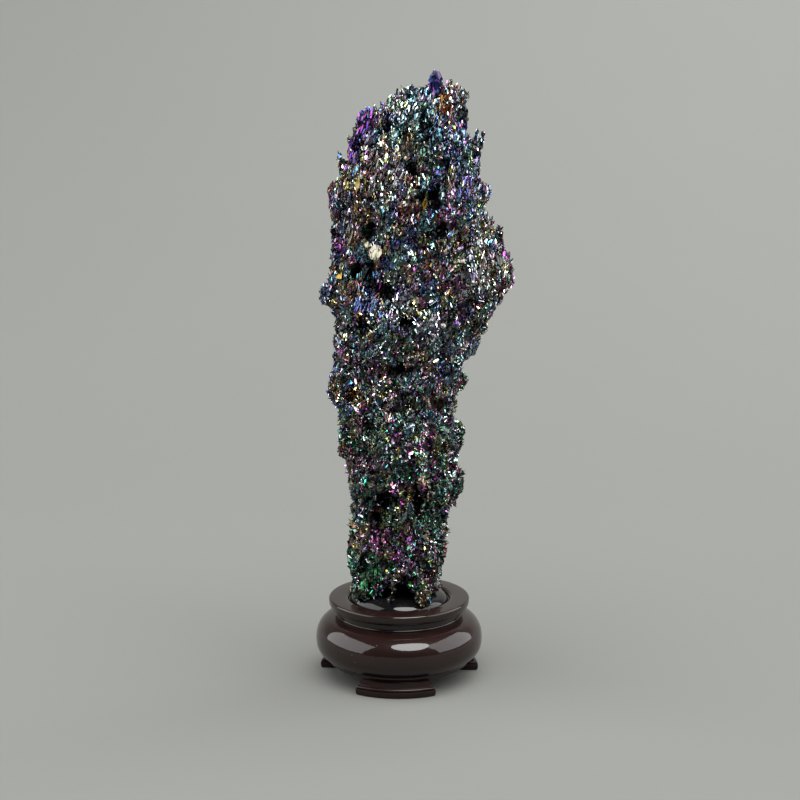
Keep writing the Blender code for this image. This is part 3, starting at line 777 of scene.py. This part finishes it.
def tintsAt(places, hashes, ragged, rng, spread):
    # Film, sheen and silver share of a crystal at each place, and whether its clump faces a lamp. The sheen
    # carries a painted highlight for clumps that face a lamp and painted shade in the hollows.
    plan = colourPlan
    count = len(places)
    height = (places[:, 2] - massLow.z) / (massHigh.z - massLow.z)

    def between(low, high, change):
        start, span = plan[change]
        return plan[low] + (plan[high] - plan[low]) * np.clip((height - start) / span, 0.0, 1.0)

    drift = noiseAt(leant(places, plan["driftLean"]), plan["driftSize"], plan["driftOffset"])
    film = between("lowerFilm", "upperFilm", "filmChange") + plan["drift"] * drift
    film += plan["clumpSpread"] * (hashes[:, 0] - 0.5) + spread * rng.normal(size=count)
    silver = between("silverLower", "silver", "sheenChange") + plan["clumpSilver"] * (hashes[:, 3] - 0.5)
    silver += plan["silverSpread"] * rng.normal(size=count)
    litChance = between("litLower", "lit", "sheenChange")
    for x, z, radius, zoneFilm, zoneSpread, share, zoneSilver, zoneLit in tintZones.values():
        near = nearness(places, ragged, x, z, radius, radius)
        chosen = rng.random(count) < share * near
        film[chosen] = zoneFilm + zoneSpread * rng.normal(size=chosen.sum())
        silver[chosen] = zoneSilver + plan["zoneSilver"] * rng.normal(size=chosen.sum())
        litChance = litChance + zoneLit * near
    film = np.abs(film)
    film = np.where(film > 1.0, 2.0 - film, film)
    lit = (hashes[:, 1] < litChance) & (places[:, 1] < matrixShape["frontLimit"])
    dimness = between("dimnessLower", "dimness", "sheenChange")
    dimness += plan["clumpDimness"] * (hashes[:, 2] - 0.5)
    lowest, highest = plan["sheen"]
    # Painted highlight: crystals whose clump faces a lamp also get a brighter colour on top of their real
    # facing.
    sheen = lowest + (highest - lowest) * rng.random(count) ** np.where(lit, plan["litDimness"], dimness)
    # Painted shade: crystals in the hollows get a darker colour on top of the real depth.
    sheen *= 1 - plan["hollowShade"] * hollowsAt(places, ragged)[1]
    return np.clip(np.stack([film, sheen, silver], axis=1), 0.0, 1.0), lit


def setTints(mesh, tints):
    layer = mesh.attributes.new("crystalTint", "FLOAT_COLOR", "FACE")
    colours = np.ones((len(tints), 4))
    colours[:, :3] = tints
    layer.data.foreach_set("color", colours.ravel())


def makeMatrix():
    m = matrixShape
    rng = np.random.default_rng(m["seed"])
    mesh = makeMatrixMesh()
    centres = np.array([face.center for face in mesh.polygons])
    hashes = clumpsAt(centres, m["clumpSize"])[1]
    tints = tintsAt(centres, hashes, raggedness(centres), rng, m["filmSpread"])[0]
    # Painted shade: the matrix that shows between the plates is darkened so the gaps read as shadowed.
    tints[:, 1] *= m["gapShade"]
    setTints(mesh, tints)
    piece = finishPiece("crystalMatrix", mesh, matrixMaterial, ["specimen"])
    print("matrix made,", 2 * len(mesh.polygons), "triangles")
    return piece


matrix = makeMatrix()


# Thin plates that cover the matrix

# Each shape: sides, turn in degrees, how much narrower its tip is.
plateShapes = {
    "hexagon": (6, 30, 0.0),
    "lath": (4, 45, 0.15),
    "square": (4, 45, 0.35),
    "kite": (4, 0, 0.0),
    "chip": (3, 90, 0.0),
}

# How much of each band's plates has this shape. Laths take their share from the squares.
plateShares = {"hexagon": 0.3, "square": 0.45, "kite": 0.25, "lath": 0.0, "chip": 1.0}

# Each band: from and to what height in millimetres, plates, chips, order, share of laths, seed.
plateBands = {
    "crystalsFoot": (38, 95, 7600, 7600, 0.35, 0.05, 21),
    "crystalsWaist": (95, 150, 7600, 7600, 0.45, 0.08, 22),
    "crystalsMiddle": (150, 200, 8600, 7600, 0.55, 0.12, 23),
    "crystalsShoulder": (200, 255, 9000, 8400, 0.65, 0.2, 24),
    "crystalsCrest": (255, 330, 9200, 8400, 0.80, 0.25, 25),
}

plateSizes = {
    "length": (1.3 * mm, 5.2 * mm),
    "chipLength": (0.7 * mm, 1.7 * mm),
    "sizeSpread": (1.4, 4.0),
    "slimness": (0.16, 0.44),
    "lathSlimness": (0.14, 0.28),
    "lathStretch": 1.5,
    "thickness": (0.14 * mm, 0.30 * mm),
    "sunk": 0.36,
    "litLift": (0.1 * mm, 0.6 * mm),
    "filmSpread": 0.07,
    "bareBorder": 0.15,
    "borderLeast": 0.25,
    "bareHollow": 0.9,
    "clearOfSetting": 0.15 * mm,
    "clearOfBox": 0.3 * mm,
}

plateTurns = {
    "grainJitter": 0.18,
    "clumpAim": 1.6,
    "aimJitter": 0.55,
    "flatness": 0.62,
    "outward": 0.10,
    "clumpTurn": 2.4,
    "turnJitter": 0.55,
    "litJitter": 0.36,
}

# Directions in which a face throws a lamp's light forwards: azimuth towards the right, then elevation.
litFacings = {"left": (-39, 13), "front": (10, 26), "right": (43, 13)}


def plateTemplate(sides, turn, cut):
    # One flat plate, one long and one wide, with its long side along Y and its root at the origin.
    bm = bmesh.new()
    bmesh.ops.create_circle(bm, cap_ends=True, radius=0.5, segments=sides)
    bmesh.ops.rotate(bm, matrix=Matrix.Rotation(math.radians(turn), 3, "Z"), verts=bm.verts)
    width = max(v.co.x for v in bm.verts) - min(v.co.x for v in bm.verts)
    bmesh.ops.scale(bm, vec=(1 / width, 1, 1), verts=bm.verts)
    raised = bmesh.ops.extrude_face_region(bm, geom=bm.faces[:])
    top = [item for item in raised["geom"] if isinstance(item, bmesh.types.BMVert)]
    bmesh.ops.translate(bm, vec=(0, 0, 1), verts=top)
    bmesh.ops.translate(bm, vec=(0, 0.5, -0.5), verts=bm.verts)
    for vert in bm.verts:
        if vert.co.y > 0.5:
            vert.co.x *= 1 - cut
    bmesh.ops.recalc_face_normals(bm, faces=bm.faces)
    bm.verts.ensure_lookup_table()
    verts = np.array([vert.co for vert in bm.verts])
    faces = [[vert.index for vert in face.verts] for face in bm.faces]
    bm.free()
    return verts, faces


templates = {name: plateTemplate(*shape) for name, shape in plateShapes.items()}


class Surface:
    # The matrix's triangles, for placing crystals on them.
    def __init__(self, mesh):
        mesh.calc_loop_triangles()
        corners = np.empty(len(mesh.loop_triangles) * 3, dtype=np.int64)
        mesh.loop_triangles.foreach_get("vertices", corners)
        self.corners = corners.reshape(-1, 3)
        self.places, self.normals = placesAndNormals(mesh)
        a, b, c = (self.places[self.corners[:, k]] for k in range(3))
        self.areas = np.linalg.norm(np.cross(b - a, c - a), axis=1) / 2
        self.heights = (a[:, 2] + b[:, 2] + c[:, 2]) / 3
        self.tree = BVHTree.FromPolygons(self.places.tolist(), self.corners.tolist())

    def scatter(self, rng, count, low, high):
        inBand = (self.heights >= low) & (self.heights < high)
        chance = np.where(inBand, self.areas, 0.0)
        chosen = self.corners[rng.choice(len(chance), count, p=chance / chance.sum())]
        share = np.sort(rng.random((count, 2)), axis=1)
        weights = np.stack([share[:, 0], share[:, 1] - share[:, 0], 1 - share[:, 1]], axis=1)
        places = (self.places[chosen] * weights[:, :, None]).sum(axis=1)
        normals = (self.normals[chosen] * weights[:, :, None]).sum(axis=1)
        return places, unit(normals)

    def behind(self, x, z):
        # The first place of the surface that lies behind x and z, seen from the front.
        place = self.tree.ray_cast(Vector((x, -1.0, z)), Vector((0.0, 1.0, 0.0)))[0]
        return None if place is None else np.array(place)


def unit(vectors):
    return vectors / np.maximum(np.linalg.norm(vectors, axis=-1, keepdims=True), 1e-9)


def direction(azimuth, elevation):
    # Azimuth 0 looks out of the front, 90 to the right.
    turn, rise = math.radians(azimuth), math.radians(elevation)
    return np.array([math.sin(turn) * math.cos(rise), -math.cos(turn) * math.cos(rise), math.sin(rise)])


def squareTo(vectors, axes):
    return unit(vectors - axes * (vectors * axes).sum(axis=-1, keepdims=True))


def plateFrames(rng, normals, hashes, order, lit):
    # Long axis, width axis and face normal of each plate. Plates of one clump lie much alike.
    t = plateTurns
    count = len(normals)
    grain = unit(np.array([[grainLean, 0.0, 1.0]]) + t["grainJitter"] * rng.normal(size=(count, 3)))
    free = unit(t["clumpAim"] * (hashes[:, 1:4] - 0.5) + t["aimJitter"] * rng.normal(size=(count, 3)))
    leaning = order * grain + (1 - order) * free
    flattened = leaning - t["flatness"] * normals * (leaning * normals).sum(axis=1, keepdims=True)
    along = unit(flattened + t["outward"] * normals)
    outward = squareTo(normals, along)
    turn = (t["clumpTurn"] * (hashes[:, 0] - 0.5) + t["turnJitter"] * rng.normal(size=count))[:, None]
    face = outward * np.cos(turn) + np.cross(along, outward) * np.sin(turn)
    aims = np.array([direction(*facing) for facing in litFacings.values()])
    aims = aims[(hashes[:, 3] * len(aims)).astype(int)]
    litFace = unit(aims + t["litJitter"] * rng.normal(size=(count, 3)))
    face = np.where(lit[:, None], litFace, face)
    along = np.where(lit[:, None], squareTo(leaning, litFace), along)
    return along, np.cross(along, face), face


def joinedPlates(verts, places, frames, lengths, widths, thicknesses, sunk):
    # The corners of all plates, made by setting the template's corners along each plate's own axes.
    along, across, face = frames
    scaled = (verts[None, :, 0:1] * widths[:, None, None] * across[:, None, :]
              + (verts[None, :, 1:2] - sunk) * lengths[:, None, None] * along[:, None, :]
              + verts[None, :, 2:3] * thicknesses[:, None, None] * face[:, None, :])
    return places[:, None, :] + scaled


def insideLimits(solids):
    # Which plates stay inside the box of the solid and clear of the setting and the rim.
    gap = plateSizes["clearOfBox"]
    inBox = ((solids > np.array(massLow) - gap) & (solids < np.array(massHigh) + gap)).all(axis=(1, 2))
    fromAxis = solids[:, :, :2] - np.array(standAxis[:2])
    radius = np.hypot(fromAxis[:, :, 0], fromAxis[:, :, 1])
    below = settingHeight(fromAxis[:, :, 0], fromAxis[:, :, 1])
    below = np.where(radius >= setting["radius"], bodyHigh.z, below) + plateSizes["clearOfSetting"]
    below = np.where(radius > standBody["rimRadius"], 0.0, below)
    return inBox & (solids[:, :, 2] > below).all(axis=1)


def meshOfPlates(name, parts):
    verts = []
    faces = []
    tints = []
    start = 0
    for template, solids, plateTints in parts:
        size = len(template[0])
        count = len(solids)
        verts.append(solids.reshape(-1, 3))
        firsts = start + size * np.arange(count)
        for face in template[1]:
            faces.extend((firsts[:, None] + np.array(face)).tolist())
            tints.append(plateTints)
        start += size * count
    mesh = bpy.data.meshes.new(name)
    mesh.from_pydata(np.concatenate(verts), [], faces)
    mesh.update()
    setTints(mesh, np.concatenate(tints))
    return mesh


def finishPlates(name, parts, material):
    mesh = meshOfPlates(name, parts)
    finishPiece(name, mesh, material)
    print(name, "made,", sum(len(face.vertices) - 2 for face in mesh.polygons), "triangles")


def growPlates(name, band, surface):
    low, high, plates, chips, order, laths, seed = band
    rng = np.random.default_rng(seed)
    s = plateSizes
    parts = []
    shares = dict(plateShares, square=plateShares["square"] - laths, lath=laths)
    for shape, share in shares.items():
        count = int(share * (chips if shape == "chip" else plates))
        places, normals = surface.scatter(rng, count, low * mm, high * mm)
        borders, hashes = clumpsAt(places, matrixShape["clumpSize"])
        ragged = raggedness(places)
        tints, lit = tintsAt(places, hashes, ragged, rng, s["filmSpread"])
        frames = plateFrames(rng, normals, hashes, order, lit)
        bare = hollowsAt(places, ragged)[1]
        places += normals * (lit * rng.uniform(*s["litLift"], count))[:, None]
        shortest, longest = s["chipLength" if shape == "chip" else "length"]
        lengths = shortest + (longest - shortest) * rng.beta(*s["sizeSpread"], count)
        widths = lengths * rng.uniform(*s["lathSlimness" if shape == "lath" else "slimness"], count)
        if shape == "lath":
            lengths = lengths * s["lathStretch"]
        thicknesses = rng.uniform(*s["thickness"], count)
        solids = joinedPlates(templates[shape][0], places, frames, lengths, widths, thicknesses, s["sunk"])
        kept = insideLimits(solids) & (rng.random(count) < s["borderLeast"] + borders / s["bareBorder"])
        kept &= rng.random(count) > s["bareHollow"] * bare
        parts.append((templates[shape], solids[kept], tints[kept]))
    finishPlates(name, parts, crystalMaterial)


# Crystals that stand out, one by one or in sheaves of like blades, in millimetres and degrees. Each row:
# shape, x, z, half spread across and up, how many, length, width, lean, facing, film, sheen, silver.
largeCrystals = {
    "creamPlate": ("hexagon", -20.6, 223.5, 0, 0, 1, 8.6, 7.4, 8, (-24, 14), 0.055, 0.27, 0.3),
    "creamChip": ("square", -23.5, 229.5, 0, 0, 1, 4, 3.4, -20, (-24, 14), 0.06, 0.25, 0.3),
    "goldPlatePit": ("kite", 4.6, 248, 0, 0, 1, 7.5, 2.8, 4, (-20, 12), 0.12, 0.2, 0),
    "goldBlade": ("kite", 2, 270, 0, 0, 1, 7.4, 2.6, 6, (-20, 12), 0.12, 0.2, 0),
    "goldLeftA": ("kite", -28.9, 256.5, 0, 0, 1, 9.5, 2.6, 7, (-22, 10), 0.11, 0.26, 0.05),
    "goldLeftB": ("lath", -25.9, 257.5, 0, 0, 1, 8, 1.8, 9, (-22, 10), 0.11, 0.22, 0.05),
    "goldTriangle": ("chip", -38.1, 212.5, 0, 0, 1, 4.6, 4.2, -12, (-24, 14), 0.12, 0.32, 0),
    "violetBladesLow": ("lath", -32.5, 274, 2.4, 6, 28, 5.5, 1, 16, (-34, 12), 0.31, 0.44, 0.02),
    "violetBladesHigh": ("lath", -26.3, 290, 2.6, 5, 28, 5, 1, 14, (-34, 12), 0.31, 0.44, 0.02),
    "violetFan": ("lath", -25.1, 199.5, 6.5, 2.4, 26, 5.5, 0.7, 20, (-34, 14), 0.37, 0.42, 0.2),
    "magentaSliver": ("kite", -18.6, 209, 0.8, 1, 2, 7, 1.4, 6, (-34, 12), 0.8, 0.4, 0.05),
    "purplePlates": ("square", -37.3, 175.5, 1.4, 1.4, 4, 3.2, 1.8, -10, (-34, 12), 0.85, 0.4, 0.15),
    "blueLilacPlates": ("square", -36.7, 180, 1.4, 1.4, 4, 3.2, 1.8, 12, (-36, 14), 0.35, 0.4, 0.4),
    "orangeStreaks": ("lath", -30.4, 150.5, 2, 3, 8, 4.2, 0.9, 14, (-34, 12), 0.16, 0.32, 0.05),
    "copperBlades": ("lath", 15.5, 298.5, 3, 6, 26, 4.6, 0.8, 6, (-24, 14), 0.18, 0.32, 0.05),
    "crestTuft": ("hexagon", 9.9, 309.5, 1, 3.6, 22, 5.6, 5.6, 6, (-12, 14), 0.34, 0.36, 0.2),
    "violetSpirePlates": ("lath", 11, 306, 2, 4, 12, 4.4, 0.9, 4, (-30, 12), 0.31, 0.36, 0.1),
    "blueCrestPlates": ("lath", 4, 296, 4, 5, 14, 3.4, 0.9, 8, (-24, 16), 0.44, 0.32, 0.25),
    "pinkKnob": ("kite", -13.6, 159.5, 1.6, 1.6, 5, 3, 1.6, 0, (8, 20), 0.74, 0.12, 0.3),
    "oliveA": ("square", -32.5, 81.5, 1, 1, 3, 3.6, 2, 10, (-30, 16), 0.66, 0.22, 0.2),
    "oliveB": ("square", -30.5, 71, 1, 1, 3, 3.4, 2, -8, (-30, 16), 0.66, 0.22, 0.2),
    "greenKnob": ("square", 22.9, 101.5, 2.6, 2.4, 9, 3.6, 2, 8, (30, 18), 0.94, 0.34, 0.3),
    "magentaLow": ("square", -19.4, 76, 2.4, 3, 8, 3.2, 1.6, 6, (-28, 14), 0.8, 0.26, 0.1),
    "greenFootA": ("square", -18.9, 59.5, 2.4, 2.4, 8, 3.2, 1.8, 6, (-28, 14), 0.98, 0.36, 0.2),
    "greenFootB": ("square", -25.8, 50.5, 2, 2.4, 8, 3.2, 1.8, 4, (-30, 14), 0.98, 0.36, 0.15),
    "orangeMiddle": ("square", -5.5, 180, 0.8, 1, 3, 3, 1.4, 12, (-30, 14), 0.16, 0.26, 0.05),
    "copperMiddle": ("square", 7, 220, 3, 1.6, 8, 2.6, 1.2, 30, (-26, 14), 0.18, 0.3, 0.1),
    "greyShelfPlates": ("hexagon", 28, 209.5, 6, 2.6, 16, 3.8, 2.4, 30, (30, 18), 0.58, 0.16, 0.85),
    "greyFace": ("hexagon", 15.2, 205.5, 0, 0, 1, 8, 5.5, 10, (24, 10), 0.58, 0.09, 0.85),
    "greyFaceLow": ("hexagon", -8, 88, 1.5, 3, 2, 8, 5, 14, (-20, 20), 0.58, 0.09, 0.85),
    "greyFaceMiddle": ("hexagon", -9, 148, 3, 2, 2, 7, 4.6, 24, (-24, 18), 0.6, 0.09, 0.85),
    "greyFaceRight": ("hexagon", 13, 52, 3, 3, 3, 7.5, 4.6, 6, (28, 14), 0.93, 0.1, 0.75),
    "greyFacesLeft": ("hexagon", -33, 100, 1.5, 9, 4, 6, 3.6, 4, (-34, 12), 0.6, 0.09, 0.8),
    "greyFacesUpper": ("hexagon", -8, 230, 14, 20, 9, 5, 3.2, 16, (-20, 16), 0.6, 0.08, 0.85),
    "greyFacesCheek": ("hexagon", 33, 222, 9, 9, 8, 5, 3.4, 20, (28, 14), 0.6, 0.1, 0.85),
    "oliveStreak": ("lath", 17.1, 167.5, 1.4, 2.4, 6, 4.6, 0.9, 8, (30, 12), 0.66, 0.24, 0.25),
    "slateLow": ("square", 14.6, 59.5, 3, 3, 9, 3.8, 2, 6, (26, 14), 0.92, 0.2, 0.7),
    "whiteTopPlates": ("kite", -5.5, 297.5, 6, 6, 24, 3, 0.9, 8, (6, 22), 0.52, 0.4, 0.8),
    "whiteRightPlates": ("kite", 36.5, 245.5, 2.6, 4, 14, 3, 0.9, 10, (36, 14), 0.52, 0.45, 0.8),
    "silverLeftPlates": ("kite", -15, 196.5, 3.4, 3, 14, 3, 0.9, 14, (-30, 14), 0.55, 0.5, 0.8),
    "greyStreaks": ("lath", -14.5, 262, 8, 7, 30, 6, 0.7, 20, (-24, 12), 0.02, 0.22, 0.9),
    "paleStreaksLeft": ("lath", -33.5, 240, 3, 9, 22, 5, 0.7, 12, (-34, 12), 0.06, 0.24, 0.7),
    "lilacStreaks": ("lath", 24, 258, 2.5, 5, 16, 3.6, 0.8, 10, (30, 14), 0.33, 0.36, 0.2),
}
largeSizes = {"seed": 31, "gain": 1.3, "scale": (0.6, 1.2), "jitter": 0.13, "leanJitter": 8.0,
              "lift": (0.1, 0.8), "thickness": 0.4, "filmSpread": 0.035, "dimmest": 0.45,
              "silverSpread": 0.12}


def growLargeCrystals(surface):
    s = largeSizes
    rng = np.random.default_rng(s["seed"])
    parts = []
    for row in largeCrystals.values():
        shape, x, z, wide, high, count, length, width, lean, facing, film, sheen, silver = row
        loose = 0.0 if count == 1 else 1.0
        solids = []
        tints = []
        for blade in range(count):
            aside, up = wide * rng.uniform(-1, 1), high * rng.uniform(-1, 1)
            place = surface.behind((x + aside) * mm, (z + up) * mm)
            if place is None:
                continue
            face = unit(direction(*facing) + loose * s["jitter"] * rng.normal(size=3))
            tilt = math.radians(lean + loose * s["leanJitter"] * rng.normal())
            along = squareTo(np.array([math.sin(tilt), 0.0, math.cos(tilt)]), face)
            frames = [axis[None, :] for axis in (along, np.cross(along, face), face)]
            scale = rng.uniform(*s["scale"]) if loose else 1.0
            sizes = [np.array([size * mm]) for size in (length * scale, width * scale, s["thickness"])]
            place = place + face * rng.uniform(*s["lift"]) * mm
            solids.append(joinedPlates(templates[shape][0], place[None, :], frames, *sizes, 0.0))
            tints.append((film + loose * s["filmSpread"] * rng.normal(),
                          s["gain"] * sheen * (1 - loose * (1 - rng.uniform(s["dimmest"], 1.0))),
                          silver + loose * s["silverSpread"] * rng.normal()))
        solids = np.concatenate(solids)
        kept = insideLimits(solids)
        parts.append((templates[shape], solids[kept], np.clip(tints, 0.0, 1.0)[kept]))
    finishPlates("crystalsLarge", parts, plateMaterial)


surface = Surface(matrix.data)
for name, band in plateBands.items():
    growPlates(name, band, surface)
growLargeCrystals(surface)


# Floor, lights and camera

stage = {
    "floor": (0.125, 0.1275, 0.1195),
    "width": 6.0,
    "front": -3.0,
    "back": 1.9,
    "height": 3.0,
    "sweep": 1.5,
    "sweepArc": (-90, 0, 13),
    "mottle": 0.97,
    "mottleScale": 3.0,
    "paper": {"Roughness": 0.9, "Specular IOR Level": 0.1},
}


def makeBackdrop():
    s = stage
    bm = bmesh.new()
    middle = (s["back"] - s["sweep"], s["sweep"])
    corners = [(s["front"], 0.0), (s["back"], s["height"])]
    corners[1:1] = roundedQuarter(middle, (s["sweep"], s["sweep"]), *s["sweepArc"])
    edges = addLine(bm, [(-s["width"] / 2, y, z) for y, z in corners])[1]
    swept = bmesh.ops.extrude_edge_only(bm, edges=edges)
    moved = [item for item in swept["geom"] if isinstance(item, bmesh.types.BMVert)]
    bmesh.ops.translate(bm, vec=(s["width"], 0, 0), verts=moved)
    mesh = plainMesh(bm, "paperSweep")
    mesh.shade_smooth()
    material, tree, shader = newMaterial("greyPaper")
    darker = tuple(s["mottle"] * value for value in s["floor"])
    colour = addMix(tree, addNoise(tree, s["mottleScale"], 3.0, 0.5), darker, s["floor"])
    feed(tree, shader, {"Base Color": colour, **s["paper"]})
    mesh.materials.append(material)
    linked("paperSweep", mesh)


# Each lamp: azimuth from the camera's side towards the right, elevation, distance, size, radiance.
lamps = {
    "keyBox": (20, 50, 2.2, (1.8, 1.7), 11.3),
    "leftBox": (-83, 26, 2.1, (2.9, 1.9), 3.1),
    "rightBox": (86, 26, 2.1, (2.8, 1.9), 3.1),
}
lampTarget = Vector((0.0, 0.0, 0.10))

# Large soft lamps for the paper, mirrored in nothing: place, what they point at, size, radiance.
washes = {
    "backdropWash": (Vector((0.8, 0.75, 1.9)), Vector((0.5, 1.8, 0.95)), (1.8, 0.6), 10.0),
    "floorWash": (Vector((0.2, -0.6, 2.8)), Vector((0.1, 0.0, 0.0)), (3.6, 3.2), 7.0),
}


def makeLamp(name, place, aim, size, radiance):
    light = bpy.data.lights.new(name, "AREA")
    light.shape = "ELLIPSE" if name == "keyBox" else "RECTANGLE"
    light.size, light.size_y = size
    area = light.size * light.size_y * (math.pi / 4 if light.shape == "ELLIPSE" else 1)
    light.energy = radiance * math.pi * area
    lamp = linked(name, light)
    lamp.location = place
    lamp.rotation_euler = (aim - place).to_track_quat("-Z", "Y").to_euler()
    lamp.visible_camera = False
    return lamp


def makeLamps():
    for name, (azimuth, elevation, distance, size, radiance) in lamps.items():
        place = lampTarget + Vector(direction(azimuth, elevation)) * distance
        lamp = makeLamp(name, place, lampTarget, size, radiance)
        lamp.visible_diffuse = name != "keyBox"
    for name, values in washes.items():
        makeLamp(name, *values).visible_glossy = False


camera = {
    "distance": 670 * mm,
    "height": 250.6 * mm,
    "aside": 0.5 * mm,
    "pitchDown": 8.615,
    "lens": 57.6,
    "sensor": 36.0,
    "farthest": 20.0,
}


def makeCamera():
    data = bpy.data.cameras.new("photoCamera")
    data.lens = camera["lens"]
    data.sensor_width = camera["sensor"]
    data.clip_end = camera["farthest"]
    made = linked("photoCamera", data)
    made.location = (standAxis.x + camera["aside"], -camera["distance"], camera["height"])
    made.rotation_euler = (math.radians(90 - camera["pitchDown"]), 0.0, 0.0)
    bpy.context.scene.camera = made


surroundings = {"Color": (1.0, 0.97, 0.93), "Strength": 0.05}


def makeWorld():
    world = bpy.data.worlds.new("darkStudio")
    world.use_nodes = True
    feed(world.node_tree, world.node_tree.nodes["Background"], surroundings)
    bpy.context.scene.world = world


makeBackdrop()
makeLamps()
makeCamera()
makeWorld()
bpy.context.scene.view_settings.view_transform = "Standard"
print("stage made")
